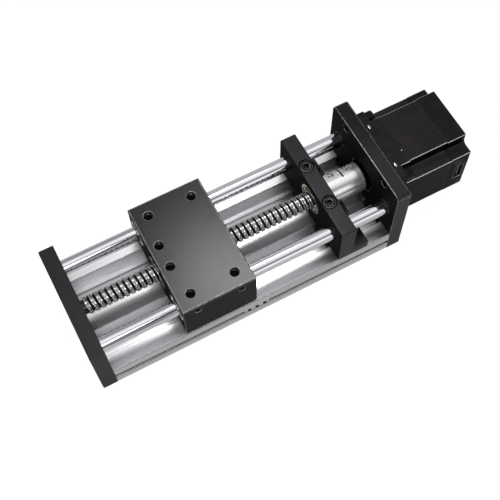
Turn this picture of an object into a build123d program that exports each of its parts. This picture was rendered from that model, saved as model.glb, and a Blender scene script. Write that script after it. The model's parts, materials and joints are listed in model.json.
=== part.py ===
from build123d import *
from math import cos, radians, sin
import os

# Ball screw linear module, in millimetres.
# X runs along the screw towards the motor, Y across, Z up.
# The origin lies on the standing surface, under the middle of the whole length.

# Extruded base
base_length = 200.0
base_width = 80.0
base_height = 20.0
centre_land_width = 19.4
channel_outer = 57.0
channel_floor = 9.0
channel_step_from = 45.0
channel_step_rise = 1.6
side_slot_height = 9.4
side_slot_mouth = 3.6
side_slot_lip = 2.0
side_slot_width = 7.4
side_slot_depth = 5.6
underside_relief_width = 26.0
underside_relief_depth = 1.0
corner_chamfer = 0.5

# Plates, bearing block and carriage
end_plate_thickness = 10.0
end_plate_height = 54.0
motor_plate_thickness = 10.0
motor_plate_over_motor = 0.3
motor_plate_bore_radius = 11.5
motor_plate_corner = 2.0
block_thickness = 11.0
block_height = 54.0
block_foot_length = 11.0
block_foot_thickness = 7.0
block_to_motor_plate = 39.0
carriage_length = 50.0
carriage_roof = 5.0
carriage_gap = 2.5
carriage_from_end_plate = 51.0
edge_chamfer = 0.5

# Guide rods and linear bushings
rod_radius = 5.0
rod_inset = 11.0
rod_height = 41.5
rod_seat_depth = 3.5
rod_drive_seat = 7.0
rod_clearance = 0.04
bushing_radius = 8.5
bushing_length = 24.0

# Ball screw
screw_height = 38.0
screw_radius = 5.9
screw_shoulder_radius = 4.8
screw_shoulder_length = 2.0
end_journal_radius = 3.0
drive_journal_radius = 4.0
drive_journal_in_coupling = 10.5

# Ball nut
nut_radius = 11.0
nut_length = 46.0
nut_flange_radius = 18.0
nut_flange_thickness = 8.0
nut_flange_flats = 28.0
nut_flange_recess = 3.5
nut_running_gap = 0.35
wiper_thickness = 2.0
wiper_radius = 8.6

# Bearings and retaining parts
end_bearing_radius = 9.5
end_bearing_width = 6.0
support_bearing_radius = 11.0
support_bearing_width = 7.0
race_wall = 2.0
race_gap = 0.4
race_relief = 0.5
ring_thickness = 1.0
ring_setback = 0.5
ring_radial_width = 1.8
ring_mouth = 5.5
spacer_radius = 6.0
shoulder_bore_radius = 8.0

# Shaft coupling
coupling_radius = 10.0
coupling_length = 25.0
coupling_gap = 1.0
coupling_slit = 1.0
coupling_slit_from_top = 22.0
coupling_slit_turn = 88.0
clamp_offset = 6.0
clamp_seat = 1.9
clamp_spread = 13.0

# Stepper motor
motor_length = 54.0
motor_size = 56.4
motor_flange_thickness = 5.0
motor_front_bell = 7.0
motor_stack_length = 28.0
motor_corner_radius = 2.5
motor_notch_fillet = 3.0
stack_notch_step = 0.5
motor_side_step = 0.4
motor_hole_spacing = 47.14
motor_pilot_radius = 19.05
motor_pilot_depth = 1.6
motor_shaft_radius = 3.175
motor_shaft_reach = 21.0
motor_shaft_gap = 0.05
motor_end_wall = 3.0
rotor_radius = 15.0
rotor_length = 26.0
rotor_air_gap = 0.5
rotor_from_bell = 1.0
connector_width = 16.0
connector_depth = 6.0
connector_height = 7.0
connector_wall = 1.0
connector_from_end = 6.0

# Fasteners: thread sizes, how far they reach, and the room round them
block_screw = 5.0
block_screw_spacing = 30.0
block_screw_length = 45.0
block_leg_play = 0.1
mount_screw = 5.0
mount_screw_length = 13.0
coupling_screw = 2.5
coupling_screw_length = 8.0
rod_screw = 5.0
base_screw = 4.0
base_screw_rows = ((5.0, 10.0), (31.4, 9.4))
head_room = 0.75
hole_room = 0.25
hex_share = 0.8
head_growth = 1.5
head_margin = 1.0
slot_nut_length = 18.0
slot_nut_from_end_plate = 92.0
slot_nut_pitch = 5.6
slot_nut_thread = 2.0
slot_nut_depth = 3.0
slot_nut_play = 0.15
slot_nut_sink = 0.4

# Tapped holes in the carriage and the base, drawn at the nominal size of their threads
carriage_thread = 6.0
carriage_hole_floor = 0.5
carriage_holes_along = 30.0
carriage_hole_inset = 10.0
carriage_pair_spacing = 16.0
carriage_pair_from_face = 7.0
side_thread = 4.0
side_hole_depth = 4.3
side_hole_drop = 6.2
base_thread = 5.0
base_hole_floor = 1.5
base_holes_along = 150.0
base_holes_across = 40.0

# Places along the screw
total_length = end_plate_thickness + base_length + motor_plate_thickness + motor_length
end_face = -total_length / 2
base_start = end_face + end_plate_thickness
base_end = base_start + base_length
base_middle = (base_start + base_end) / 2
motor_face = base_end + motor_plate_thickness
motor_end = motor_face + motor_length
bell_start = motor_face + motor_flange_thickness
bell_end = bell_start + motor_front_bell
stack_end = bell_end + motor_stack_length
block_face = base_end - block_to_motor_plate
block_back = block_face + block_thickness
block_middle = (block_face + block_back) / 2
carriage_face = base_start + carriage_from_end_plate
carriage_back = carriage_face + carriage_length
carriage_middle = (carriage_face + carriage_back) / 2
nut_back = carriage_back - nut_flange_recess
nut_face = nut_back - nut_length
flange_face = nut_back - nut_flange_thickness
ring_face = block_face + ring_setback
support_bearing_face = ring_face + ring_thickness
support_bearing_back = support_bearing_face + support_bearing_width
end_bearing_face = base_start - end_bearing_width
coupling_face = block_back + coupling_gap
coupling_middle = coupling_face + coupling_length / 2

# Heights and places across the screw
carriage_bottom = base_height + carriage_gap
carriage_top = rod_height + bushing_radius + carriage_roof
side_hole_z = carriage_top - side_hole_drop
motor_plate_height = screw_height + motor_size / 2 + motor_plate_over_motor
block_screw_seat = block_height - block_screw - hole_room
block_screw_hole = channel_floor - block_screw_seat + block_screw_length + hole_room
rod_side = base_width / 2 - rod_inset
rod_places = [(-rod_side, rod_height), (rod_side, rod_height)]
mount_places = [
    (y * motor_hole_spacing / 2, screw_height + z * motor_hole_spacing / 2)
    for y in (-1, 1)
    for z in (-1, 1)
]


def across(x):
    """Plane across the screw at a place along it, with its own x along +Y and y along +Z."""
    return Plane.YZ.offset(x)


def motor_plane(x):
    """Plane across the motor, centred on its shaft."""
    return Plane(origin=(x, 0, screw_height), x_dir=(0, 1, 0), z_dir=(1, 0, 0))


def facing(origin, direction):
    """Plane at a point that looks along a direction."""
    return Plane(origin=origin, z_dir=direction)


def bar(start, length, radius, bore=0.0, places=((0, screw_height),), mode=Mode.ADD):
    """Round bars or tubes along X, in the part that is being built."""
    with BuildSketch(across(start)) as disc:
        with Locations(*places):
            Circle(radius)
            if bore:
                Circle(bore, mode=Mode.SUBTRACT)
    extrude(disc.sketch, amount=length, mode=mode)


def head_radius(size):
    """Radius of a socket head, from the thread size."""
    return (head_growth * size + head_margin) / 2


def head_pocket(size, places):
    """Blind pockets for socket heads in the end plate's outer face."""
    bar(end_face, size + hole_room, head_radius(size) + head_room, 0, places, Mode.SUBTRACT)


def socket_screw(size, length):
    """Socket head cap screw with its head's seat at the origin and its head up."""
    with BuildPart() as screw:
        with BuildSketch():
            Circle(head_radius(size))
        extrude(amount=size)
        with BuildSketch():
            Circle(size / 2)
        extrude(amount=-length)
        with BuildSketch(Plane.XY.offset(size)):
            RegularPolygon(hex_share * size / 2, 6, major_radius=False)
        extrude(amount=-size / 2, mode=Mode.SUBTRACT)
    return screw.part


def motor_section(notch):
    """Square outline of the motor's body with a rounded notch at each corner."""
    size = motor_size - 2 * motor_side_step
    with BuildSketch() as outline:
        Rectangle(size, size)
        with GridLocations(size, size, 2, 2):
            Rectangle(2 * notch, 2 * notch, mode=Mode.SUBTRACT)
        fillet(outline.vertices().group_by(SortBy.DISTANCE)[0], motor_notch_fillet)
    return outline.sketch


def save(name, part):
    """Label a finished piece and write it under its own name."""
    part.label = name
    export_step(part, "parts/" + name + ".step")


def save_screws(name, one, planes):
    """Write a group of identical screws, one at each plane."""
    with BuildPart() as group:
        with Locations(*planes):
            add(one)
    save(name, group.part)


os.makedirs("parts", exist_ok=True)

# Base: an extrusion with two open channels, a slot in each side and a relieved underside
slot_inner = side_slot_depth - side_slot_lip
slot_middle = base_width / 2 - side_slot_lip - slot_inner / 2
step_width = (channel_outer - channel_step_from) / 2
step_middle = (channel_step_from + step_width) / 2
with BuildPart() as base:
    with BuildSketch(across(base_start)):
        with Locations((0, base_height / 2)):
            Rectangle(base_width, base_height)
        with Locations((0, base_height)):
            Rectangle(channel_outer, 2 * (base_height - channel_floor), mode=Mode.SUBTRACT)
        with Locations((0, base_height / 2)):
            Rectangle(centre_land_width, base_height)
        for side in (-1, 1):
            with Locations((side * step_middle, channel_floor + channel_step_rise / 2)):
                Rectangle(step_width, channel_step_rise)
            with Locations((side * (base_width - side_slot_depth) / 2, side_slot_height)):
                Rectangle(side_slot_depth, side_slot_mouth, mode=Mode.SUBTRACT)
            with Locations((side * slot_middle, side_slot_height)):
                Rectangle(slot_inner, side_slot_width, mode=Mode.SUBTRACT)
        Rectangle(underside_relief_width, 2 * underside_relief_depth, mode=Mode.SUBTRACT)
    extrude(amount=base_length)
    chamfer(base.edges().filter_by(Axis.X).group_by(Axis.Y)[0], corner_chamfer)
    chamfer(base.edges().filter_by(Axis.X).group_by(Axis.Y)[-1], corner_chamfer)
    with Locations(facing((base_middle, 0, 0), (0, 0, -1))):
        with GridLocations(base_holes_along, base_holes_across, 2, 2):
            Hole(base_thread / 2, depth=channel_floor - base_hole_floor)
    with Locations((block_middle, 0, channel_floor)):
        with GridLocations(1, block_screw_spacing, 1, 2):
            Hole(block_screw / 2, depth=block_screw_hole)
save("base_extrusion", base.part)

# End plate: carries the rods and the screw's end bearing
end_inner_radius = end_journal_radius + race_wall
with BuildPart() as end_plate:
    with BuildSketch(across(end_face)):
        with Locations((0, end_plate_height / 2)):
            Rectangle(base_width, end_plate_height)
    extrude(amount=end_plate_thickness)
    chamfer(end_plate.edges().group_by(Axis.X)[0], edge_chamfer)
    bar(base_start, -rod_seat_depth, rod_radius, places=rod_places, mode=Mode.SUBTRACT)
    bar(base_start, -end_bearing_width, end_bearing_radius, mode=Mode.SUBTRACT)
    bar(end_bearing_face, -race_relief, end_inner_radius + race_gap, mode=Mode.SUBTRACT)
    head_pocket(rod_screw, rod_places)
    head_pocket(base_screw, [(side * y, z) for y, z in base_screw_rows for side in (-1, 1)])
save("end_plate", end_plate.part)

# Motor plate: carries the other ends of the rods and the motor
with BuildPart() as motor_plate:
    with BuildSketch(across(base_end)):
        with Locations((0, motor_plate_height / 2)):
            Rectangle(base_width, motor_plate_height)
    extrude(amount=motor_plate_thickness)
    chamfer(motor_plate.edges().filter_by(Axis.X).group_by(Axis.Z)[-1], motor_plate_corner)
    chamfer(motor_plate.edges().group_by(Axis.Z)[-1], edge_chamfer)
    bar(base_end, rod_drive_seat, rod_radius, places=rod_places, mode=Mode.SUBTRACT)
    bar(base_end, motor_plate_thickness, motor_plate_bore_radius, mode=Mode.SUBTRACT)
    bar(motor_face, -motor_pilot_depth, motor_pilot_radius, mode=Mode.SUBTRACT)
    bar(base_end, motor_plate_thickness, mount_screw / 2, places=mount_places, mode=Mode.SUBTRACT)
save("motor_plate", motor_plate.part)

# Bearing block: stands across the base on a foot and carries the screw's support bearing.
# A leg round each of its screws stands on the floor of the base's channel.
block_leg_width = block_screw_spacing - centre_land_width - 2 * block_leg_play
with BuildPart() as block:
    with BuildSketch(across(block_face)):
        with Locations((0, (base_height + block_height) / 2)):
            Rectangle(base_width, block_height - base_height)
        with Locations((0, (channel_floor + base_height) / 2)):
            with GridLocations(block_screw_spacing, 1, 2, 1):
                Rectangle(block_leg_width, base_height - channel_floor)
    extrude(amount=block_thickness)
    with BuildSketch(across(block_back)):
        with Locations((0, base_height + block_foot_thickness / 2)):
            Rectangle(base_width, block_foot_thickness)
    extrude(amount=block_foot_length)
    chamfer(block.edges().group_by(Axis.Z)[-1], edge_chamfer)
    bar(block_face, block_thickness, rod_radius + rod_clearance, places=rod_places, mode=Mode.SUBTRACT)
    bar(block_face, support_bearing_back - block_face, support_bearing_radius, mode=Mode.SUBTRACT)
    bar(block_face, block_thickness, shoulder_bore_radius, mode=Mode.SUBTRACT)
    with Locations((block_middle, 0, block_height)):
        with GridLocations(1, block_screw_spacing, 1, 2):
            CounterBoreHole(
                block_screw / 2 + hole_room,
                head_radius(block_screw) + head_room,
                block_screw + hole_room,
                depth=block_height - channel_floor,
            )
save("bearing_block", block.part)

# Guide rods: hardened ground bars, seated in both plates
rod_start = base_start - rod_seat_depth
rod_length = rod_seat_depth + base_length + rod_drive_seat
for name, place in zip(("guide_rod_front", "guide_rod_rear"), rod_places):
    with BuildPart() as rod:
        bar(rod_start, rod_length, rod_radius, places=[place])
    save(name, rod.part)

# Ball screw: end journal, shoulder, threaded length and drive journal, turned from one bar
thread_start = base_start + screw_shoulder_length
drive_journal_end = coupling_face + drive_journal_in_coupling
with BuildPart() as ball_screw:
    bar(end_bearing_face, end_bearing_width, end_journal_radius)
    bar(base_start, screw_shoulder_length, screw_shoulder_radius)
    bar(thread_start, support_bearing_face - thread_start, screw_radius)
    bar(support_bearing_face, drive_journal_end - support_bearing_face, drive_journal_radius)
save("ball_screw", ball_screw.part)

# End bearing of the screw, in the end plate: an outer and an inner ring
with BuildPart() as end_outer_ring:
    bar(end_bearing_face, end_bearing_width, end_bearing_radius, end_inner_radius + race_gap)
save("end_bearing_outer_ring", end_outer_ring.part)
with BuildPart() as end_inner_ring:
    bar(end_bearing_face, end_bearing_width, end_inner_radius, end_journal_radius)
save("end_bearing_inner_ring", end_inner_ring.part)

# Support bearing of the screw, in the bearing block
support_inner_radius = drive_journal_radius + race_wall
support_outer_bore = support_inner_radius + race_gap
with BuildPart() as support_outer_ring:
    bar(support_bearing_face, support_bearing_width, support_bearing_radius, support_outer_bore)
save("support_bearing_outer_ring", support_outer_ring.part)
with BuildPart() as support_inner_ring:
    bar(support_bearing_face, support_bearing_width, support_inner_radius, drive_journal_radius)
save("support_bearing_inner_ring", support_inner_ring.part)

# Retaining ring in front of the support bearing, open at the bottom, and the sleeve behind it
with BuildPart() as retaining_ring:
    bar(ring_face, ring_thickness, support_bearing_radius, support_bearing_radius - ring_radial_width)
    with BuildSketch(across(ring_face)):
        with Locations((0, screw_height - support_bearing_radius)):
            Rectangle(ring_mouth, support_bearing_radius)
    extrude(amount=ring_thickness, mode=Mode.SUBTRACT)
save("bearing_retaining_ring", retaining_ring.part)
with BuildPart() as spacer:
    bar(support_bearing_back, coupling_face - support_bearing_back, spacer_radius, drive_journal_radius)
save("spacer_sleeve", spacer.part)

# Linear bushings: two on each rod, one in each end of the carriage
bushing_starts = (("left", carriage_face), ("right", carriage_back - bushing_length))
for rod_name, place in zip(("front", "rear"), rod_places):
    for end_name, start in bushing_starts:
        with BuildPart() as bushing:
            bar(start, bushing_length, bushing_radius, rod_radius + rod_clearance, [place])
        save("bushing_" + rod_name + "_" + end_name, bushing.part)

# Ball nut: a round body with a flange that has two flats, and a wiper in each end
nut_bore = screw_radius + nut_running_gap
wiper_starts = (nut_face, nut_back - wiper_thickness)
with BuildSketch(across(flange_face)) as flange_outline:
    with Locations((0, screw_height)):
        Circle(nut_flange_radius)
        Rectangle(2 * nut_flange_radius, nut_flange_flats, mode=Mode.INTERSECT)
with BuildPart() as nut:
    bar(nut_face, nut_length, nut_radius)
    extrude(flange_outline.sketch, amount=nut_flange_thickness)
    chamfer(nut.edges().group_by(Axis.X)[0], edge_chamfer)
    bar(nut_face, nut_length, nut_bore, mode=Mode.SUBTRACT)
    for start in wiper_starts:
        bar(start, wiper_thickness, wiper_radius, mode=Mode.SUBTRACT)
save("ball_nut", nut.part)
with BuildPart() as wipers:
    for start in wiper_starts:
        bar(start, wiper_thickness, wiper_radius, nut_bore)
save("nut_wipers", wipers.part)

# Carriage: a block bored for the bushings and the nut, with tapped holes on top
with BuildPart() as carriage:
    with BuildSketch(across(carriage_face)):
        with Locations((0, (carriage_bottom + carriage_top) / 2)):
            Rectangle(base_width, carriage_top - carriage_bottom)
    extrude(amount=carriage_length)
    chamfer(carriage.edges().group_by(Axis.Z)[-1], edge_chamfer)
    bar(carriage_face, carriage_length, bushing_radius, places=rod_places, mode=Mode.SUBTRACT)
    bar(carriage_face, carriage_length, nut_radius, mode=Mode.SUBTRACT)
    extrude(flange_outline.sketch, amount=carriage_back - flange_face, mode=Mode.SUBTRACT)
    with Locations((carriage_middle, 0, carriage_top)):
        with GridLocations(carriage_holes_along, base_width - 2 * carriage_hole_inset, 2, 2):
            Hole(carriage_thread / 2, depth=carriage_roof - carriage_hole_floor)
    with Locations((carriage_face + carriage_pair_from_face, 0, carriage_top)):
        with GridLocations(1, carriage_pair_spacing, 1, 2):
            Hole(carriage_thread / 2, depth=carriage_roof - carriage_hole_floor)
    for side in (-1, 1):
        for along in (-carriage_holes_along / 2, carriage_holes_along / 2):
            place = (carriage_middle + along, side * base_width / 2, side_hole_z)
            with Locations(facing(place, (0, side, 0))):
                Hole(side_thread / 2, depth=side_hole_depth)
save("carriage_block", carriage.part)

# Coupling: a clamping sleeve, slit along its length and part of the way round its middle
slit_angle = 90 - coupling_slit_from_top - coupling_slit_turn
slit_y = cos(radians(slit_angle))
slit_z = sin(radians(slit_angle))
clamp_planes = [
    facing(
        (
            coupling_middle + along,
            clamp_offset * slit_y - clamp_seat * slit_z,
            screw_height + clamp_offset * slit_z + clamp_seat * slit_y,
        ),
        (0, -slit_z, slit_y),
    )
    for along in (-clamp_spread / 2, clamp_spread / 2)
]
with BuildPart() as coupling:
    bar(coupling_face, coupling_length, coupling_radius)
    bar(coupling_face, coupling_length / 2, drive_journal_radius, mode=Mode.SUBTRACT)
    bar(coupling_middle, coupling_length / 2, motor_shaft_radius, mode=Mode.SUBTRACT)
    with BuildSketch(across(coupling_face)):
        with Locations(Location((0, screw_height), slit_angle)):
            Rectangle(2 * coupling_radius, coupling_slit, align=(Align.MIN, Align.CENTER))
    extrude(amount=coupling_length, mode=Mode.SUBTRACT)
    with BuildSketch(across(coupling_middle - coupling_slit / 2)):
        with BuildLine():
            rim = CenterArc((0, screw_height), 2 * coupling_radius, slit_angle, coupling_slit_turn)
            Polyline(rim @ 1, (0, screw_height), rim @ 0)
        make_face()
    extrude(amount=coupling_slit, mode=Mode.SUBTRACT)
    for plane in clamp_planes:
        with BuildSketch(plane):
            Circle(head_radius(coupling_screw) + hole_room)
        extrude(amount=coupling_radius, mode=Mode.SUBTRACT)
        with BuildSketch(plane):
            Circle(coupling_screw / 2)
        extrude(amount=-coupling_screw_length - hole_room, mode=Mode.SUBTRACT)
save("coupling", coupling.part)

# Motor front bell: square flange with mounting holes, pilot boss and notched body
corner_room = (motor_size - motor_hole_spacing) / 2 - motor_side_step
bell_notch = corner_room + head_radius(mount_screw) + hole_room
shaft_bore = motor_shaft_radius + motor_shaft_gap
with BuildPart() as front_bell:
    with BuildSketch(motor_plane(motor_face)):
        RectangleRounded(motor_size, motor_size, motor_corner_radius)
        with GridLocations(motor_hole_spacing, motor_hole_spacing, 2, 2):
            Circle(mount_screw / 2, mode=Mode.SUBTRACT)
    extrude(amount=motor_flange_thickness)
    with BuildSketch(motor_plane(bell_start)):
        add(motor_section(bell_notch))
    extrude(amount=motor_front_bell)
    bar(motor_face, -motor_pilot_depth, motor_pilot_radius)
    bar(bell_end, motor_face - motor_pilot_depth - bell_end, shaft_bore, mode=Mode.SUBTRACT)
save("motor_front_bell", front_bell.part)

# Motor stack: the laminated stator, between the bells
with BuildPart() as stack:
    with BuildSketch(motor_plane(bell_end)):
        add(motor_section(bell_notch + stack_notch_step))
        Circle(rotor_radius + rotor_air_gap, mode=Mode.SUBTRACT)
    extrude(amount=motor_stack_length)
save("motor_stack", stack.part)

# Motor rotor: turns with the shaft inside the stack
with BuildPart() as rotor:
    bar(bell_end + rotor_from_bell, rotor_length, rotor_radius, motor_shaft_radius)
save("motor_rotor", rotor.part)

# Motor rear bell, with a mouth for the connector in its front side
shaft_end = motor_end - motor_end_wall
connector_y = motor_side_step - motor_size / 2
connector_plane = Plane(
    origin=(motor_end - connector_from_end, connector_y, screw_height),
    x_dir=(0, 0, 1),
    z_dir=(0, -1, 0),
)
with BuildPart() as rear_bell:
    with BuildSketch(motor_plane(stack_end)):
        add(motor_section(bell_notch))
    extrude(amount=motor_end - stack_end)
    chamfer(rear_bell.faces().sort_by(Axis.X)[-1].edges(), edge_chamfer)
    bar(stack_end, shaft_end - stack_end, shaft_bore, mode=Mode.SUBTRACT)
    with BuildSketch(connector_plane):
        Rectangle(connector_width, connector_height)
    extrude(amount=-connector_depth, mode=Mode.SUBTRACT)
save("motor_rear_bell", rear_bell.part)

# Connector: a box header, open outwards, in the rear bell's side
with BuildPart() as connector:
    with BuildSketch(connector_plane):
        Rectangle(connector_width, connector_height)
    extrude(amount=-connector_depth)
    with BuildSketch(connector_plane):
        Rectangle(connector_width - 2 * connector_wall, connector_height - 2 * connector_wall)
    extrude(amount=connector_wall - connector_depth, mode=Mode.SUBTRACT)
save("motor_connector", connector.part)

# Motor shaft, from inside the coupling through the motor
shaft_start = motor_face - motor_shaft_reach
with BuildPart() as shaft:
    bar(shaft_start, shaft_end - race_gap - shaft_start, motor_shaft_radius)
save("motor_shaft", shaft.part)

# Slot nut: a strip in the front slot of the base, with three small tapped holes
slot_nut_y = side_slot_lip - base_width / 2
slot_nut_middle = base_start + slot_nut_from_end_plate + slot_nut_length / 2
slot_nut_plane = Plane(
    origin=(slot_nut_middle, slot_nut_y, side_slot_height),
    x_dir=(1, 0, 0),
    z_dir=(0, -1, 0),
)
with BuildPart() as slot_nut:
    with BuildSketch(slot_nut_plane):
        Rectangle(slot_nut_length, side_slot_width - 2 * slot_nut_play)
    extrude(amount=-slot_nut_depth)
    with BuildSketch(slot_nut_plane):
        Rectangle(slot_nut_length, side_slot_mouth - 2 * slot_nut_play)
    extrude(amount=side_slot_lip - slot_nut_sink)
    with BuildSketch(slot_nut_plane):
        with GridLocations(slot_nut_pitch, 1, 3, 1):
            Circle(slot_nut_thread / 2)
    extrude(amount=slot_nut_depth, both=True, mode=Mode.SUBTRACT)
save("slot_nut", slot_nut.part)

# Socket screws: down through the bearing block, into the motor plate, and across the coupling's slit
save_screws(
    "bearing_block_screws",
    socket_screw(block_screw, block_screw_length),
    [
        facing((block_middle, side * block_screw_spacing / 2, block_screw_seat), (0, 0, 1))
        for side in (-1, 1)
    ],
)
save_screws(
    "motor_mount_screws",
    socket_screw(mount_screw, mount_screw_length),
    [facing((bell_start, y, z), (1, 0, 0)) for y, z in mount_places],
)
save_screws("coupling_screws", socket_screw(coupling_screw, coupling_screw_length), clamp_planes)
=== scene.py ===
import json
import math

import bmesh
import bpy
from mathutils import Matrix, Vector

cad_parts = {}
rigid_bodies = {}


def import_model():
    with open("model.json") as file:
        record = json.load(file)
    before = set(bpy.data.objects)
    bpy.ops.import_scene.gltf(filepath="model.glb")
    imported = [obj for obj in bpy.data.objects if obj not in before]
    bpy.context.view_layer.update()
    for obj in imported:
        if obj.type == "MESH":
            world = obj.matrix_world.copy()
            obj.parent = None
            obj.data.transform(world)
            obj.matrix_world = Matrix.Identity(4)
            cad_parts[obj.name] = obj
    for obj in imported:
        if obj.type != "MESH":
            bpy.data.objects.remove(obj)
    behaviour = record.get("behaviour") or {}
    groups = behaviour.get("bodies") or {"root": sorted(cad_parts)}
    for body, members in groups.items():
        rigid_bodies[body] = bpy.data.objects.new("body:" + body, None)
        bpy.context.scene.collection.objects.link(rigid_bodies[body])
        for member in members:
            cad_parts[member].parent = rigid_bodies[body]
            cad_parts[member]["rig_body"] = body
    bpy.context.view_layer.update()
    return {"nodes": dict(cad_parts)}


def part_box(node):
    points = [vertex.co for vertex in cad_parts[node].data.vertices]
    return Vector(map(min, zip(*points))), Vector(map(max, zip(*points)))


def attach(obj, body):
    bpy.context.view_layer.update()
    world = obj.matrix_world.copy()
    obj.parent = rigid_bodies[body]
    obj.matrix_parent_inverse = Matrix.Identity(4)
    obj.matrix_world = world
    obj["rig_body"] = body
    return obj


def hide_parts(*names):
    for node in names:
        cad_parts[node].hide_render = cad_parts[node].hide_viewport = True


# Ball screw linear module: black anodised plates, polished rods and a black stepper motor.
# Sizes are in millimetres and turned to metres by MM; X runs along the screw, Z is up.
MM = 0.001
SCREW_HEIGHT = 38.0
ROD_HEIGHT = 41.5
ROD_SIDE = 29.0
SLOT_HEIGHT = 9.4

# Edges that turn by more than this are drawn sharp, and the outer ones among them are broken
SHARP_ANGLE = math.radians(35)

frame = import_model()


def linear(hex_colour):
    """An sRGB hex colour as linear red, green, blue and alpha."""
    parts = [int(hex_colour[i : i + 2], 16) / 255 for i in (0, 2, 4)]
    return [p / 12.92 if p <= 0.04045 else ((p + 0.055) / 1.055) ** 2.4 for p in parts] + [1.0]


def add_node(material, kind, inputs=None, links=None, **settings):
    """Add a node with its settings, its own input values and its links."""
    tree = material.node_tree
    new = tree.nodes.new(kind)
    for name, value in settings.items():
        setattr(new, name, value)
    for socket, value in (inputs or {}).items():
        new.inputs[socket].default_value = value
    for socket, source in (links or {}).items():
        tree.links.new(source, new.inputs[socket])
    return new


def finish(name, hex_colour, metallic, roughness, **others):
    """A new material with its shader's plain values; the pattern is added to it afterwards."""
    material = bpy.data.materials.new(name)
    material.use_nodes = True
    shader = material.node_tree.nodes["Principled BSDF"]
    shader.inputs["Base Color"].default_value = linear(hex_colour)
    shader.inputs["Metallic"].default_value = metallic
    shader.inputs["Roughness"].default_value = roughness
    for socket, value in others.items():
        shader.inputs[socket.replace("_", " ")].default_value = value
    material.diffuse_color = linear(hex_colour)
    return material


def speckle(material, grain_mm, stretch=(1, 1, 1), detail=2.0):
    """Noise on Object coordinates, with a grain of that size, stretched along the axes."""
    place = add_node(material, "ShaderNodeTexCoord")
    scale = [1 / (grain_mm * MM * s) for s in stretch]
    mapped = add_node(
        material,
        "ShaderNodeMapping",
        {"Scale": scale},
        {"Vector": place.outputs["Object"]},
    )
    return add_node(
        material,
        "ShaderNodeTexNoise",
        {"Scale": 1.0, "Detail": detail},
        {"Vector": mapped.outputs[0]},
    ).outputs["Fac"]


def spread(material, source, low, high):
    """A value that runs from low to high as the noise does round its middle."""
    return add_node(
        material,
        "ShaderNodeMapRange",
        {"From Min": 0.3, "From Max": 0.7, "To Min": low, "To Max": high},
        {"Value": source},
    ).outputs[0]


def tint(material, source, dark, light):
    """A colour that runs between two hex values as the noise does."""
    return add_node(
        material,
        "ShaderNodeMix",
        {6: linear(dark), 7: linear(light)},
        {0: spread(material, source, 0.0, 1.0)},
        data_type="RGBA",
    ).outputs[2]


def connect(material, colour=None, roughness=None, relief=None, depth_mm=0.01):
    """Link a pattern to the shader's colour, roughness and surface relief."""
    tree = material.node_tree
    shader = tree.nodes["Principled BSDF"]
    if colour:
        tree.links.new(colour, shader.inputs["Base Color"])
    if roughness:
        tree.links.new(roughness, shader.inputs["Roughness"])
    if relief:
        bump = add_node(
            material,
            "ShaderNodeBump",
            {"Strength": 1.0, "Distance": depth_mm * MM},
            {"Height": relief},
        )
        tree.links.new(bump.outputs[0], shader.inputs["Normal"])
    return material


# Specular tints that keep a black finish dark at a glancing view
GLANCING_GREY = (0.76, 0.76, 0.76, 1.0)
GLANCING_DARK = (0.58, 0.58, 0.58, 1.0)


def anodised_black(name, colour, darker, lighter, glancing):
    """Black anodised aluminium, fine milled: metal under a dyed oxide, so a deep satin black with a
    very fine grain. The dye leans a little to blue or brown, as batches do."""
    metal = finish(name, colour, 1.0, 0.25, Specular_Tint=glancing)
    return connect(
        metal,
        tint(metal, speckle(metal, 7.0), darker, lighter),
        spread(metal, speckle(metal, 1.5, detail=6.0), 0.24, 0.26),
        speckle(metal, 0.5, detail=3.0),
        0.0006,
    )


black_anodised = anodised_black(
    "black_anodised_aluminium", "353537", "343436", "363638", GLANCING_GREY
)
brown_black_anodised = anodised_black(
    "brown_black_anodised", "353434", "343333", "363535", GLANCING_DARK
)

# Painted edge highlight: a lighter dull metal that comes and goes on the broken edges of the
# black parts, standing in for the light that those edges catch
painted_edge_highlight = finish("painted_edge_highlight_anodised", "858484", 1.0, 0.32)
connect(
    painted_edge_highlight,
    tint(painted_edge_highlight, speckle(painted_edge_highlight, 2.5, detail=4.0), "5C5B5B", "9C9A99"),
    spread(painted_edge_highlight, speckle(painted_edge_highlight, 0.8, detail=4.0), 0.28, 0.42),
)

# Clear anodised extrusion: bright satin aluminium with fine drawing lines along its length
extruded = finish("clear_anodised_extrusion", "DCDCDE", 1.0, 0.28)
connect(
    extruded,
    tint(extruded, speckle(extruded, 1.4, (60, 1, 1)), "D6D6D8", "E2E2E4"),
    spread(extruded, speckle(extruded, 0.9, (80, 1, 1), 4.0), 0.27, 0.29),
    speckle(extruded, 0.5, (120, 1, 1), 2.0),
    0.0003,
)

# Hardened chromed rod: ground and polished, a mirror with hardly visible lengthwise marks
chromed_rod = finish("chromed_guide_rod", "E4E5E9", 1.0, 0.07)
connect(
    chromed_rod,
    None,
    spread(chromed_rod, speckle(chromed_rod, 0.8, (40, 1, 1), 4.0), 0.05, 0.10),
    speckle(chromed_rod, 0.7, (60, 1, 1)),
    0.0015,
)
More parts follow.
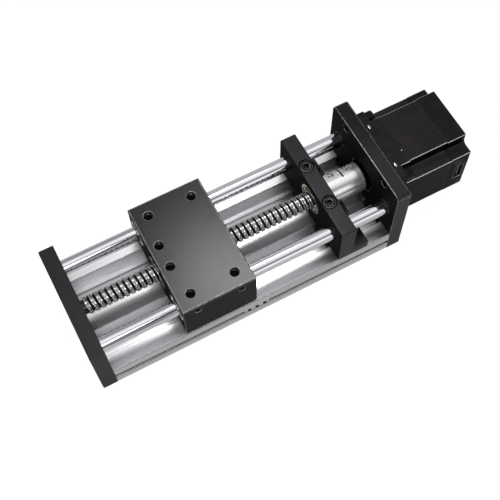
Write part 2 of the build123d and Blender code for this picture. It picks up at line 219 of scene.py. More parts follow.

# Rolled and oiled screw steel: the lands are ground bright, and the groove between them is painted
# dark, as painted shade in the groove
screw_steel = finish("rolled_screw_steel", "B9B9BB", 1.0, 0.16)
screw_place = add_node(screw_steel, "ShaderNodeTexCoord")
from_axis = add_node(
    screw_steel,
    "ShaderNodeMapping",
    {"Location": (0, 0, -SCREW_HEIGHT * MM), "Scale": (0, 1, 1)},
    {"Vector": screw_place.outputs["Object"]},
)
distance = add_node(
    screw_steel,
    "ShaderNodeVectorMath",
    None,
    {0: from_axis.outputs[0]},
    operation="LENGTH",
)
# Painted shade: the colour darkens from the lands down into the groove
groove_shade_to_land = add_node(
    screw_steel,
    "ShaderNodeMapRange",
    {"From Min": 5.05 * MM, "From Max": 5.75 * MM},
    {"Value": distance.outputs["Value"]},
    interpolation_type="SMOOTHSTEP",
)
groove_shaded_steel = add_node(
    screw_steel,
    "ShaderNodeMix",
    {6: linear("3A3939")},
    {
        0: groove_shade_to_land.outputs[0],
        7: tint(screw_steel, speckle(screw_steel, 1.1, detail=4.0), "98989A", "BEBEC0"),
    },
    data_type="RGBA",
)
connect(
    screw_steel,
    groove_shaded_steel.outputs[2],
    spread(screw_steel, speckle(screw_steel, 0.6, detail=4.0), 0.12, 0.22),
    speckle(screw_steel, 0.3, detail=3.0),
    0.002,
)

# Ground bearing steel: bright, nearly mirror
bearing_steel = finish("ground_bearing_steel", "CFCFD2", 1.0, 0.12)
connect(
    bearing_steel,
    None,
    spread(bearing_steel, speckle(bearing_steel, 1.0, detail=4.0), 0.09, 0.18),
)

# Nut steel: ground, a little darker than the bearings
nut_steel = finish("ground_nut_steel", "9D9B98", 1.0, 0.22)
connect(
    nut_steel,
    tint(nut_steel, speckle(nut_steel, 3.0), "93918E", "A6A4A1"),
    spread(nut_steel, speckle(nut_steel, 0.8, detail=4.0), 0.18, 0.30),
)

# Spring steel of the retaining ring: phosphated with the straw tint of its temper and grease
spring_steel = finish("tempered_spring_steel", "A9A68C", 1.0, 0.22)
connect(
    spring_steel,
    tint(spring_steel, speckle(spring_steel, 2.0), "8F8D72", "BDBBA4"),
)

# Turned aluminium of the coupling: bright, with fine rings round its axis
turned_aluminium = finish("turned_coupling_aluminium", "F4F4F5", 0.85, 0.22)
connect(
    turned_aluminium,
    None,
    spread(turned_aluminium, speckle(turned_aluminium, 1.0, (0.4, 20, 20), 3.0), 0.18, 0.26),
    speckle(turned_aluminium, 0.5, (1, 40, 40), 3.0),
    0.0012,
)

# Walls of the coupling's cross slit: painted shade, a dull near black in the slit
painted_slit_shade = finish("painted_slit_shade_wall", "161616", 0.0, 0.7)

# Painted shade: a near black, dull and hardly glossy finish on the faces that look towards the end
# plate, on discs at the floors of the tapped holes and on the slot nut's screws
painted_shade_black = finish("painted_shade_near_black", "080808", 0.0, 0.70, Specular_IOR_Level=0.08)
connect(painted_shade_black, tint(painted_shade_black, speckle(painted_shade_black, 3.0), "060606", "0B0B0B"))

# Black oxide screws: nearly black steel with an oily sheen
black_oxide = finish("black_oxide_screw_steel", "1F1F20", 1.0, 0.34)
connect(
    black_oxide,
    tint(black_oxide, speckle(black_oxide, 1.0), "1A1A1B", "29292A"),
    spread(black_oxide, speckle(black_oxide, 0.5, detail=4.0), 0.28, 0.44),
)

# Zinc plated steel of the slot nut: pale and bright
zinc = finish("zinc_plated_steel", "E0E1DF", 1.0, 0.30)
connect(zinc, tint(zinc, speckle(zinc, 2.0), "D6D7D5", "EAEBE9"))

# Black painted die casting of the motor's bells: semi-gloss with a soft cast grain
painted_casting = finish(
    "black_painted_casting", "2B2B2C", 1.0, 0.30, Specular_Tint=GLANCING_DARK
)
connect(
    painted_casting,
    tint(painted_casting, speckle(painted_casting, 6.0), "282829", "2E2E2F"),
    spread(painted_casting, speckle(painted_casting, 2.0, detail=5.0), 0.26, 0.38),
    speckle(painted_casting, 0.8, detail=4.0),
    0.008,
)

# Lacquered laminations: brownish black sheets on edge. The real sheets are 0.5 mm thick, which is
# too fine to show, so the relief is as coarse as the bundles that they show in. WAVE_RATE is how
# fast a wave node's phase runs at a scale of 1
SHEET_BUNDLE = 2.3
WAVE_RATE = 20
laminations = finish("lacquered_laminations", "333030", 1.0, 0.33, Specular_Tint=GLANCING_DARK)
sheet_place = add_node(laminations, "ShaderNodeTexCoord")
sheet_edges = add_node(
    laminations,
    "ShaderNodeTexWave",
    {
        "Scale": math.tau / (WAVE_RATE * SHEET_BUNDLE * MM),
        "Distortion": 1.4,
        "Detail": 2.0,
        "Detail Scale": 0.4,
    },
    {"Vector": sheet_place.outputs["Object"]},
    wave_type="BANDS",
    bands_direction="X",
)
sheet_fade = add_node(
    laminations,
    "ShaderNodeMath",
    None,
    {0: sheet_edges.outputs["Fac"], 1: speckle(laminations, 9.0, detail=1.0)},
    operation="MULTIPLY",
)
connect(
    laminations,
    tint(laminations, sheet_fade.outputs[0], "302D2D", "393535"),
    spread(laminations, speckle(laminations, 1.5, (0.2, 2, 2), 4.0), 0.28, 0.40),
    sheet_fade.outputs[0],
    0.06,
)

# Painted highlight: light aluminium on the broken lengthwise edges of the motor and the base and
# on small glints on the motor's flange, standing in for the light that they catch
painted_highlight_metal = finish("painted_highlight_aluminium", "C9C9CB", 1.0, 0.26)
connect(
    painted_highlight_metal,
    tint(painted_highlight_metal, speckle(painted_highlight_metal, 1.5, detail=4.0), "B4B4B6", "DCDCDE"),
    spread(painted_highlight_metal, speckle(painted_highlight_metal, 0.7, detail=3.0), 0.20, 0.34),
)

# Pressed brass cage of the open bearing, wet with a greenish grease
cage_brass = finish("greased_brass_cage", "8F8450", 1.0, 0.26, Coat_Weight=0.5, Coat_Roughness=0.12)
connect(
    cage_brass,
    tint(cage_brass, speckle(cage_brass, 1.2, detail=4.0), "6E6A3E", "A99C62"),
    spread(cage_brass, speckle(cage_brass, 0.6, detail=3.0), 0.2, 0.34),
)

# Black nitrile rubber of seals and wipers
rubber = finish("black_nitrile_rubber", "161616", 0.0, 0.6)
connect(rubber, tint(rubber, speckle(rubber, 1.0), "131313", "1D1D1D"))

# Moulded connector plastic
connector_plastic = finish("moulded_connector_plastic", "1C1C1C", 0.0, 0.45)
connect(
    connector_plastic,
    tint(connector_plastic, speckle(connector_plastic, 1.5), "181818", "222222"),
)

# Tinned contact pins
tinned = finish("tinned_contact", "CFCBC0", 1.0, 0.25)


def put(name, mesh, material, body):
    """Turn a bmesh into a smooth shaded piece that rides on a body."""
    for face in mesh.faces:
        face.smooth = True
    for edge in mesh.edges:
        if len(edge.link_faces) == 2 and edge.calc_face_angle() > SHARP_ANGLE:
            edge.smooth = False
    data = bpy.data.meshes.new(name)
    mesh.to_mesh(data)
    mesh.free()
    data.materials.append(material)
    piece = bpy.data.objects.new(name, data)
    bpy.context.scene.collection.objects.link(piece)
    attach(piece, body)
    return piece


def body_of(node):
    """The body that a CAD node rides on."""
    return frame["nodes"][node]["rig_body"]


def dressed(node, material, edge=0.25, highlight_finish=None, lengthwise=False):
    """A CAD piece with its doubles merged, its flat faces joined and its outer edges broken.

    A lengthwise piece has only the edges along X broken."""
    mesh = bmesh.new()
    mesh.from_mesh(frame["nodes"][node].data)
    bmesh.ops.remove_doubles(mesh, verts=mesh.verts, dist=0.002 * MM)
    bmesh.ops.dissolve_limit(
        mesh,
        angle_limit=math.radians(0.5),
        verts=mesh.verts,
        edges=mesh.edges,
    )
    weight = mesh.edges.layers.float.new("bevel_weight_edge")
    for line in mesh.edges:
        sharp = len(line.link_faces) == 2 and line.calc_face_angle() > SHARP_ANGLE
        run = (line.verts[0].co - line.verts[1].co).normalized()
        line[weight] = float(sharp and line.is_convex and (abs(run.x) > 0.98 or not lengthwise))
    piece = put(node + "_finished", mesh, material, body_of(node))
    if edge:
        broken = piece.modifiers.new("broken_edges", "BEVEL")
        broken.width = edge * MM
        broken.segments = 2
        broken.limit_method = "WEIGHT"
        broken.use_clamp_overlap = False
        broken.harden_normals = True
        # Broken edges get the highlight finish when one is given: a painted highlight
        if highlight_finish:
            piece.data.materials.append(highlight_finish)
            broken.material = 1
    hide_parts(node)
    return piece


def turned(outline, steps=64):
    """A closed ring or bar, turned round the X axis, from its outline of (x, radius) in mm."""
    mesh = bmesh.new()
    rows = [mesh.verts.new((x * MM, 0, r * MM)) for x, r in outline]
    edges = [mesh.edges.new(pair) for pair in zip(rows, rows[1:] + rows[:1])]
    bmesh.ops.spin(
        mesh,
        geom=rows + edges,
        axis=(1, 0, 0),
        cent=(0, 0, 0),
        angle=math.tau,
        steps=steps,
        use_merge=True,
    )
    bmesh.ops.remove_doubles(mesh, verts=mesh.verts, dist=0.0005 * MM)
    bmesh.ops.recalc_face_normals(mesh, faces=mesh.faces)
    return mesh


def moved(mesh, x=0.0, y=0.0, z=0.0):
    """Move a bmesh by millimetres."""
    bmesh.ops.translate(mesh, verts=mesh.verts, vec=(x * MM, y * MM, z * MM))
    return mesh


def facing(mesh, direction, x, y, z):
    """Turn a bmesh that looks along +X to a direction and move it to its place in mm."""
    turn = Vector((1, 0, 0)).rotation_difference(Vector(direction)).to_matrix().to_4x4()
    bmesh.ops.transform(mesh, matrix=turn, verts=mesh.verts)
    return moved(mesh, x, y, z)


def joined(meshes):
    """Several bmeshes as one."""
    whole = bmesh.new()
    for mesh in meshes:
        part = bpy.data.meshes.new("part")
        mesh.to_mesh(part)
        mesh.free()
        whole.from_mesh(part)
        bpy.data.meshes.remove(part)
    return whole


def socket_screw(radius, length, hex_corner, hex_depth, crown=0.3):
    """A screw seen from its socket end: its top at x 0, its socket pulled out to six sides."""
    mesh = turned(
        (
            (-hex_depth - 0.3 * hex_corner, 0.0),
            (-hex_depth, hex_corner * 0.97),
            (-0.15, hex_corner),
            (0.0, hex_corner + 0.15),
            (0.0, radius - crown),
            (-0.3 * crown, radius - 0.3 * crown),
            (-crown, radius),
            (-length, radius),
            (-length, 0.0),
        ),
        36,
    )
    for point in mesh.verts:
        r = math.hypot(point.co.y, point.co.z)
        if 0 < r < (hex_corner + 0.2) * MM and point.co.x > -(hex_depth + 0.1) * MM:
            side = math.degrees(math.atan2(point.co.y, point.co.z)) % 60 - 30
            pull = math.cos(math.radians(30)) / math.cos(math.radians(side))
            point.co.y *= pull
            point.co.z *= pull
    return mesh


def inner_thread(radius, pitch, turns, direction, x, y, z):
    """The ridge of a tapped hole's thread, wound into the hole from its mouth."""
    steps = 20
    mesh = bmesh.new()
    into = Vector(direction)
    mouth = Vector((x, y, z)) * MM
    profile = ((radius + 0.03, -0.42), (radius - 0.48 * pitch, 0.0), (radius + 0.03, 0.42))
    ridge = [
        mesh.verts.new(mouth + Vector((r, 0, 0)) * MM + into * (0.75 + along) * pitch * MM)
        for r, along in profile
    ]
    edges = [mesh.edges.new(pair) for pair in zip(ridge, ridge[1:] + ridge[:1])]
    bmesh.ops.contextual_create(mesh, geom=edges)
    wound = bmesh.ops.spin(
        mesh,
        geom=edges,
        axis=into,
        cent=mouth,
        dvec=into * pitch * MM / steps,
        angle=math.tau * turns,
        steps=steps * turns,
    )
    last = [part for part in wound["geom_last"] if isinstance(part, bmesh.types.BMEdge)]
    bmesh.ops.contextual_create(mesh, geom=last)
    bmesh.ops.recalc_face_normals(mesh, faces=mesh.faces)
    return mesh


# Plates, bearing block and carriage. Their faces that look towards the end plate get painted shade
for node, metal, edge, highlight_finish in (
    ("end_plate", black_anodised, 0.2, None),
    ("motor_plate", black_anodised, 0.3, painted_edge_highlight),
    ("bearing_block", black_anodised, 0.25, None),
    ("carriage_block", brown_black_anodised, 0.45, painted_edge_highlight),
):
    plate = dressed(node, metal, edge, highlight_finish)
    if node != "end_plate":
        # Faces that look towards the end plate get the painted shade
        plate.data.materials.append(painted_shade_black)
        for face in plate.data.polygons:
            if face.normal.x < -0.9:
                face.material_index = len(plate.data.materials) - 1

# Extruded base, with a painted highlight on its broken lengthwise edges
dressed("base_extrusion", extruded, 0.4, painted_highlight_metal, lengthwise=True)

# Rods
for node in ("guide_rod_front", "guide_rod_rear"):
    dressed(node, chromed_rod, 0)

# Linear bushings: a ground shell with a black lip seal let into each end
BUSHING_LENGTH = 24.0
BUSHING = (
    (0.0, 8.2),
    (0.3, 8.5),
    (BUSHING_LENGTH - 0.3, 8.5),
    (BUSHING_LENGTH, 8.2),
    (BUSHING_LENGTH, 7.5),
    (BUSHING_LENGTH - 0.7, 7.3),
    (BUSHING_LENGTH - 0.7, 6.2),
    (0.7, 6.2),
    (0.7, 7.3),
    (0.0, 7.5),
)
SEAL_INSET = 0.35
LIP_SEAL = (
    (0.0, 7.2),
    (0.35, 7.28),
    (2.0, 7.28),
    (2.0, 5.6),
    (1.0, 5.06),
    (0.4, 5.06),
    (0.25, 5.8),
)
for node in (
    "bushing_front_left",
    "bushing_front_right",
    "bushing_rear_left",
    "bushing_rear_right",
):
    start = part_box(node)[0].x / MM
    side = math.copysign(ROD_SIDE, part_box(node)[0].y)
    shell = put(
        node + "_shell",
        moved(turned(BUSHING), start, side, ROD_HEIGHT),
        bearing_steel,
        body_of(node),
    )
    near_seal = moved(turned(LIP_SEAL), SEAL_INSET)
    far_seal = turned([(BUSHING_LENGTH - SEAL_INSET - x, r) for x, r in LIP_SEAL])
    put(
        node + "_seals",
        moved(joined((near_seal, far_seal)), start, side, ROD_HEIGHT),
        rubber,
        body_of(node),
    )
    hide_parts(node)

# End bearing, spacer sleeve and motor shaft, then the ball nut, its wipers and the retaining ring
for node in (
    "end_bearing_outer_ring",
    "end_bearing_inner_ring",
    "spacer_sleeve",
    "motor_shaft",
):
    dressed(node, bearing_steel, 0.15)
dressed("ball_nut", nut_steel, 0.2)
dressed("nut_wipers", rubber, 0.1)
dressed("bearing_retaining_ring", spring_steel, 0.1)

# Support bearing: open, with its balls and brass cage between the two grooved rings. Outlines start
# at its face towards the carriage, at BEARING_START
BEARING_START = 35.5
RING_STEPS = 72
OUTER_RING = (
    (0.0, 9.3),
    (0.3, 9.1),
    (2.0, 9.1),
    (2.6, 9.45),
    (3.5, 9.6),
    (4.4, 9.45),
    (5.0, 9.1),
    (6.7, 9.1),
    (7.0, 9.3),
    (7.0, 10.7),
    (6.7, 11.0),
    (0.3, 11.0),
    (0.0, 10.7),
)
INNER_RING = (
    (0.0, 4.3),
    (0.3, 4.0),
    (6.7, 4.0),
    (7.0, 4.3),
    (7.0, 5.8),
    (6.8, 6.0),
    (4.9, 6.0),
    (4.3, 5.72),
    (3.5, 5.6),
    (2.7, 5.72),
    (2.1, 6.0),
    (0.2, 6.0),
    (0.0, 5.8),
)
CAGE = (
    (1.2, 6.7),
    (1.2, 8.5),
    (1.5, 8.6),
    (5.5, 8.6),
    (5.8, 8.5),
    (5.8, 6.7),
    (5.5, 6.6),
    (1.5, 6.6),
)
BALL_COUNT = 9
BALL_RADIUS = 1.98
BALL_CIRCLE = 7.6
BALL_PLANE = 3.5
for node, outline in (
    ("support_bearing_outer_ring", OUTER_RING),
    ("support_bearing_inner_ring", INNER_RING),
):
    ring = put(
        node + "_grooved",
        moved(turned(outline, RING_STEPS), BEARING_START, 0, SCREW_HEIGHT),
        bearing_steel,
        body_of(node),
    )
    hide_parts(node)
balls = []
for number in range(BALL_COUNT):
    ball = bmesh.new()
    bmesh.ops.create_uvsphere(ball, u_segments=24, v_segments=12, radius=BALL_RADIUS * MM)
    turn = math.tau * (number + 0.25) / BALL_COUNT
    balls.append(
        moved(ball, BALL_PLANE, BALL_CIRCLE * math.sin(turn), BALL_CIRCLE * math.cos(turn))
    )
put(
    "support_bearing_balls",
    moved(joined(balls), BEARING_START, 0, SCREW_HEIGHT),
    bearing_steel,
    "frame",
)
put(
    "support_bearing_cage",
    moved(turned(CAGE, RING_STEPS), BEARING_START, 0, SCREW_HEIGHT),
    cage_brass,
    "frame",
)

# Coupling and its clamp screws, turned together round the screw's axis to where the photograph
# shows the cross slit. CROSS_SLIT is the stretch along X that holds that slit's two sawn walls
COUPLING_TURN = 24
CROSS_SLIT = (57.8, 59.2)
coupling = dressed("coupling", turned_aluminium, 0.1)
coupling_screws = dressed("coupling_screws", nut_steel, 0.1)
# The cross slit's two walls get the painted shade
coupling.data.materials.append(painted_slit_shade)
for face in coupling.data.polygons:
    if abs(face.normal.x) > 0.9 and CROSS_SLIT[0] * MM < face.center.x < CROSS_SLIT[1] * MM:
        face.material_index = 1
to_axis = Matrix.Translation((0, 0, SCREW_HEIGHT * MM))
coupling_turn = Matrix.Rotation(math.radians(COUPLING_TURN), 4, "X")
for piece in (coupling, coupling_screws):
    piece.data.transform(to_axis @ coupling_turn @ to_axis.inverted())

# Socket screws of the bearing block and the motor, and the nut in the side slot
# The bearing block's screws carry a painted highlight on their broken edges
dressed("bearing_block_screws", black_oxide, 0.3, painted_edge_highlight)
dressed("motor_mount_screws", black_oxide, 0.2)
dressed("slot_nut", zinc, 0.15)

# Motor, with a painted highlight on its broken lengthwise edges
for node in ("motor_front_bell", "motor_rear_bell"):
    dressed(node, painted_casting, 0.45, painted_highlight_metal, lengthwise=True)
dressed("motor_stack", laminations, 0.45, painted_highlight_metal, lengthwise=True)
dressed("motor_rotor", laminations, 0.2)
dressed("motor_connector", connector_plastic, 0.1)

# Contact pins in the connector, in an upright row at the height of the motor's axis
PIN_COUNT, PIN_PITCH = 6, 2.0
PIN_WIDTH, PIN_LENGTH = 0.6, 5.0
PIN_ROW = (131.0, -24.6)
pins = []
for number in range(PIN_COUNT):
    pin = bmesh.new()
    bmesh.ops.create_cube(pin, size=1.0)
    pin_size = (PIN_WIDTH * MM, PIN_LENGTH * MM, PIN_WIDTH * MM)
    bmesh.ops.scale(pin, verts=pin.verts, vec=pin_size)
    bmesh.ops.bevel(
        pin,
        geom=pin.edges[:],
        offset=0.12 * MM,
        segments=1,
        profile=0.5,
        affect="EDGES",
        material=-1,
    )
    above = PIN_PITCH * (number - (PIN_COUNT - 1) / 2)
    pins.append(moved(pin, *PIN_ROW, SCREW_HEIGHT + above))
put("connector_pins", joined(pins), tinned, "frame")

# Socket screws let into the end plate: two into the rods, four into the base
END_SCREW_TOPS = -136.8
BASE_SCREWS = ((5.0, 10.0), (31.4, 9.4))
end_screws = []
for side in (-1, 1):
    rod_screw = socket_screw(4.25, 5.0, 2.3, 2.5)
    end_screws.append(
        facing(rod_screw, (-1, 0, 0), END_SCREW_TOPS, side * ROD_SIDE, ROD_HEIGHT)
    )
for y, z in BASE_SCREWS:
    for side in (-1, 1):
        base_screw = socket_screw(3.5, 4.0, 1.73, 2.0)
        end_screws.append(facing(base_screw, (-1, 0, 0), END_SCREW_TOPS, side * y, z))
put("end_plate_screws", joined(end_screws), black_oxide, "frame")

# Carriage: threads in its six top holes and four side holes, set screws in the side ones, and
# near black discs on the floors of the top ones, as painted shade in those holes
CARRIAGE_TOP, CARRIAGE_SIDE = 55.0, 40.0
TOP_HOLES = ((-66, 30), (-66, -30), (-36, 30), (-36, -30), (-69, 8), (-69, -8))
SIDE_HOLES, SIDE_HOLE_HEIGHT = (-66, -36), 48.8
SET_SCREW_TOPS = 37.2
HOLE_FLOOR_HEIGHT = 50.66
HOLE_SHADE_DISC = ((0.0, 0.0), (0.0, 2.99), (-0.12, 2.99), (-0.12, 0.0))
carriage_threads = [
    inner_thread(3.0, 1.0, 3, (0, 0, -1), x, y, CARRIAGE_TOP) for x, y in TOP_HOLES
]
set_screws = []
for x in SIDE_HOLES:
    for side in (-1, 1):
        mouth = (x, side * CARRIAGE_SIDE, SIDE_HOLE_HEIGHT)
        carriage_threads.append(inner_thread(2.0, 0.7, 2, (0, -side, 0), *mouth))
        top = (x, side * SET_SCREW_TOPS, SIDE_HOLE_HEIGHT)
        set_screws.append(facing(socket_screw(1.98, 1.4, 1.15, 1.0), (0, side, 0), *top))
put("carriage_threads", joined(carriage_threads), black_anodised, "carriage")
hole_shade_discs = [
    facing(turned(HOLE_SHADE_DISC, 32), (0, 0, 1), x, y, HOLE_FLOOR_HEIGHT) for x, y in TOP_HOLES
]
put("carriage_hole_shade_discs", joined(hole_shade_discs), painted_shade_black, "carriage")
put("carriage_set_screws", joined(set_screws), black_oxide, "carriage")

# Screws in the flange of the ball nut, on a circle round the screw
FLANGE_SCREW_TOPS, FLANGE_CIRCLE = -26.6, 14.2
FLANGE_ANGLES = (60, 90, 120, 240, 270, 300)
flange_screws = []
for angle in FLANGE_ANGLES:
    aside = FLANGE_CIRCLE * math.sin(math.radians(angle))
    above = FLANGE_CIRCLE * math.cos(math.radians(angle))
    place = (FLANGE_SCREW_TOPS, aside, SCREW_HEIGHT + above)
    flange_screws.append(facing(socket_screw(2.75, 2.9, 1.44, 1.4), (1, 0, 0), *place))
put("nut_flange_screws", joined(flange_screws), black_oxide, "carriage")

# Screws in the slot nut, their heads level with the base's side, near black as painted shade in
# their holes
SLOT_SCREW_TOPS = -39.97
SLOT_SCREWS = (-31.6, -26.0, -20.4)
nut_screws = []
for x in SLOT_SCREWS:
    slot_screw = socket_screw(1.3, 2.6, 0.7, 0.9, crown=0.15)
    nut_screws.append(facing(slot_screw, (0, -1, 0), x, SLOT_SCREW_TOPS, SLOT_HEIGHT))
put("slot_nut_screws", joined(nut_screws), painted_shade_black, "frame")

# Painted glints on top of the motor's flange: small light domes that stand in for highlights.
# Given as x, y and half sizes
FLANGE_TOP = 66.2
GLINT_RISE = 0.12
FLANGE_GLINTS = ((85.2, 15.0, 0.7, 1.7), (85.2, -16.8, 0.7, 1.7), (94.2, -9.7, 0.4, 0.4))
glints = []
for x, y, along, across in FLANGE_GLINTS:
    glint = bmesh.new()
    bmesh.ops.create_uvsphere(glint, u_segments=24, v_segments=12, radius=1.0)
    bmesh.ops.scale(glint, verts=glint.verts, vec=(along * MM, across * MM, GLINT_RISE * MM))
    glints.append(moved(glint, x, y, FLANGE_TOP))
put("flange_painted_glints", joined(glints), painted_highlight_metal, "frame")

# Ball screw: one lead of the outline is wound once round the axis as a right-hand thread, then
# copied until it is long enough and cut off at both ends
THREAD_START, THREAD_END = -125.0, 35.5
LEAD, CREST, ROOT = 4.0, 5.9, 4.75
GROOVE = (
    (0.0, CREST - 0.05),
    (0.15, CREST),
    (0.8, CREST),
    (0.95, CREST - 0.09),
    (1.3, CREST - 0.09),
    (1.45, CREST),
    (2.15, CREST),
    (2.32, CREST - 0.15),
    (2.5, CREST - 0.5),
    (2.75, ROOT + 0.12),
    (3.05, ROOT),
    (3.35, ROOT + 0.12),
    (3.6, CREST - 0.5),
    (3.8, CREST - 0.15),
    (4.0, CREST - 0.05),
)
TURN_STEPS = 48
thread = bmesh.new()
row = [thread.verts.new(((THREAD_START - LEAD + x) * MM, 0, r * MM)) for x, r in GROOVE]
row_edges = [thread.edges.new(pair) for pair in zip(row, row[1:])]
bmesh.ops.spin(
    thread,
    geom=row + row_edges,
    axis=(1, 0, 0),
    cent=(0, 0, 0),
    dvec=(LEAD * MM / TURN_STEPS, 0, 0),
    angle=math.tau,
    steps=TURN_STEPS,
)
turns = 1
while turns * LEAD < THREAD_END - THREAD_START + 3 * LEAD:
    copied = bmesh.ops.duplicate(thread, geom=thread.verts[:] + thread.edges[:] + thread.faces[:])
    more = [part for part in copied["geom"] if isinstance(part, bmesh.types.BMVert)]
    bmesh.ops.translate(thread, verts=more, vec=(turns * LEAD * MM, 0, 0))
    turns *= 2
bmesh.ops.remove_doubles(thread, verts=thread.verts, dist=0.002 * MM)
for cut, keep in ((THREAD_START, 1), (THREAD_END, -1)):
    bmesh.ops.bisect_plane(
        thread,
        geom=thread.verts[:] + thread.edges[:] + thread.faces[:],
        plane_co=(cut * MM, 0, 0),
        plane_no=(-keep, 0, 0),
        clear_outer=True,
    )
bmesh.ops.recalc_face_normals(thread, faces=thread.faces)
moved(thread, z=SCREW_HEIGHT)
thread_piece = put("ball_screw_thread", thread, screw_steel, "screw")
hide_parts("ball_screw")

# Core of the screw inside its thread, with the end journal and its shoulder, and the long journal
# that carries the support bearing, the sleeve and the coupling
core = turned(
    (
        (-133.0, 0.0),
        (-133.0, 2.7),
        (-132.7, 3.0),
        (-127.0, 3.0),
        (-127.0, 4.8),
        (THREAD_START, 4.8),
        (THREAD_START + 0.1, 4.7),
        (THREAD_END - 0.1, 4.7),
        (THREAD_END, 4.0),
        (56.2, 4.0),
        (56.5, 3.7),
        (56.5, 0.0),
    )
)
put("ball_screw_core", moved(core, z=SCREW_HEIGHT), screw_steel, "screw")

# Floor: pale, seen as white, and it keeps the object's shadow. The shares are how much of it glows
# for the camera and how much in polished metal
CAMERA_SHARE, MIRRORED_SHARE = 0.93, 0.22
floor_paint = finish("pale_floor", "C0C0C0", 0.0, 0.9)
floor_path = add_node(floor_paint, "ShaderNodeLightPath")
floor_glow = add_node(floor_paint, "ShaderNodeEmission", {"Strength": 1.06})
mirrored_glow = add_node(
    floor_paint,
    "ShaderNodeMath",
    {1: MIRRORED_SHARE},
    {0: floor_path.outputs["Is Glossy Ray"]},
    operation="MULTIPLY",
)
glow_share = add_node(
    floor_paint,
    "ShaderNodeMath",
    {1: CAMERA_SHARE},
    {0: floor_path.outputs["Is Camera Ray"], 2: mirrored_glow.outputs[0]},
    operation="MULTIPLY_ADD",
)
floor_mix = add_node(
    floor_paint,
    "ShaderNodeMixShader",
    None,
    {
        0: glow_share.outputs[0],
        1: floor_paint.node_tree.nodes["Principled BSDF"].outputs[0],
        2: floor_glow.outputs[0],
    },
)
floor_paint.node_tree.links.new(
    floor_mix.outputs[0],
    floor_paint.node_tree.nodes["Material Output"].inputs["Surface"],
)
floor = bmesh.new()
bmesh.ops.create_grid(floor, x_segments=1, y_segments=1, size=4.0)
floor_data = bpy.data.meshes.new("floor")
floor.to_mesh(floor_data)
floor.free()
floor_data.materials.append(floor_paint)
floor_piece = bpy.data.objects.new("floor", floor_data)
bpy.context.scene.collection.objects.link(floor_piece)

# World: soft even light on the object, white for the camera. Polished metal shows the studio as
# bands round the X axis, from the +Y horizon (0 degrees) over the ceiling to the -Y horizon (180):
# a ceiling panel over the rods and a front panel that ends before the end plate. The greys are
# those seen past the end plate, over the middle and past the motor, and BANDS_SEEN_AT is where
# along X each of the last two takes over
SOFT_LEVEL, CAMERA_WHITE = 0.5, 1.0
STUDIO_BANDS = (
    (0, 0.22, 0.40, 0.30),
    (8, 0.38, 0.52, 0.35),
    (22, 0.40, 0.56, 0.40),
    (36, 0.22, 0.50, 0.40),
    (48, 0.45, 0.54, 0.35),
    (60, 0.60, 0.60, 0.30),
    (70, 1.00, 0.95, 0.40),
    (78, 1.10, 1.10, 0.50),
    (92, 1.05, 1.10, 0.60),
    (104, 0.75, 0.95, 0.60),
    (114, 0.35, 0.75, 0.50),
    (122, 0.08, 0.45, 0.40),
    (130, 0.04, 0.24, 0.35),
    (138, 0.03, 0.24, 0.50),
    (145, 0.10, 0.60, 1.00),
    (152, 0.26, 1.10, 1.30),
    (166, 0.28, 1.10, 1.30),
    (180, 0.12, 0.80, 0.90),
)
BANDS_SEEN_AT = ((0.06, 0.20), (0.33, 0.42))
world = bpy.data.worlds.new("studio")
bpy.context.scene.world = world
world.use_nodes = True
looked_at = add_node(world, "ShaderNodeTexCoord")
direction = add_node(world, "ShaderNodeSeparateXYZ", None, {0: looked_at.outputs["Generated"]})
angle_round_x = add_node(
    world,
    "ShaderNodeMath",
    None,
    {0: direction.outputs["Z"], 1: direction.outputs["Y"]},
    operation="ARCTAN2",
)
half_turn = add_node(
    world,
    "ShaderNodeMapRange",
    {"From Min": 0.0, "From Max": math.pi},
    {"Value": angle_round_x.outputs[0]},
)
places = []
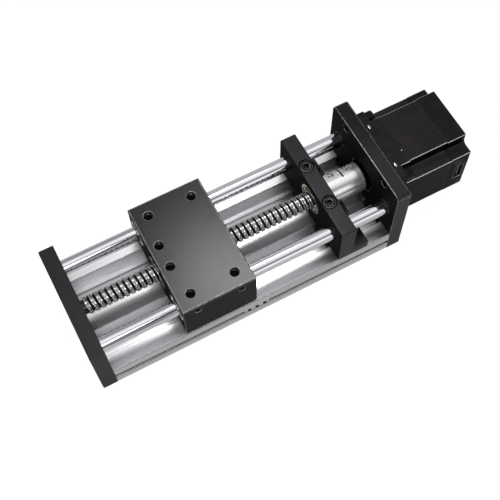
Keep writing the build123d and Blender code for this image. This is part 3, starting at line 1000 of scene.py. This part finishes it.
for column in (1, 2, 3):
    bands = add_node(world, "ShaderNodeValToRGB", None, {0: half_turn.outputs[0]})
    while len(bands.color_ramp.elements) < len(STUDIO_BANDS):
        bands.color_ramp.elements.new(1.0)
    for element, row in zip(bands.color_ramp.elements, STUDIO_BANDS):
        element.position = row[0] / 180
        element.color = (row[column], row[column], row[column], 1.0)
    places.append(bands.outputs[0])
panels = places[0]
for place, (start, end) in zip(places[1:], BANDS_SEEN_AT):
    reached = add_node(
        world,
        "ShaderNodeMapRange",
        {"From Min": start, "From Max": end},
        {"Value": direction.outputs["X"]},
        interpolation_type="SMOOTHSTEP",
    )
    panels = add_node(
        world,
        "ShaderNodeMix",
        None,
        {0: reached.outputs[0], 6: panels, 7: place},
        data_type="RGBA",
    ).outputs[2]
path = add_node(world, "ShaderNodeLightPath")
mirrored = add_node(
    world,
    "ShaderNodeMix",
    {2: SOFT_LEVEL},
    {0: path.outputs["Is Glossy Ray"], 3: panels},
)
level = add_node(
    world,
    "ShaderNodeMix",
    {3: CAMERA_WHITE},
    {0: path.outputs["Is Camera Ray"], 2: mirrored.outputs[0]},
)
sky = world.node_tree.nodes["Background"]
sky.inputs["Color"].default_value = (1, 1, 1, 1)
world.node_tree.links.new(level.outputs[0], sky.inputs["Strength"])


def softbox(name, place, aim, size, watts):
    """A square lamp at a place in metres that faces a point."""
    data = bpy.data.lights.new(name, "AREA")
    data.size = size
    data.energy = watts
    lamp = bpy.data.objects.new(name, data)
    bpy.context.scene.collection.objects.link(lamp)
    lamp.location = place
    lamp.rotation_euler = (Vector(aim) - Vector(place)).to_track_quat("-Z", "Y").to_euler()


softbox("ceiling_softbox", (0.062, 0.174, 0.60), (-0.043, -0.04, 0.055), 0.14, 0.71)
softbox("key_softbox", (-0.3, -0.7, 0.9), (0, 0, 0.03), 0.5, 3.0)

# Camera: above the end plate and the front side, as the photograph was taken
camera_data = bpy.data.cameras.new("camera")
camera_data.lens = 67.2
camera_data.sensor_width = 36.0
camera_data.clip_start = 0.05
camera_data.clip_end = 20.0
camera = bpy.data.objects.new("camera", camera_data)
bpy.context.scene.collection.objects.link(camera)
camera.location = (-130.3 * MM, -245.1 * MM, 573.0 * MM)
camera.rotation_euler = [math.radians(a) for a in (25.668, 0.871, -27.882)]
bpy.context.scene.camera = camera
bpy.context.scene.view_settings.view_transform = "Standard"
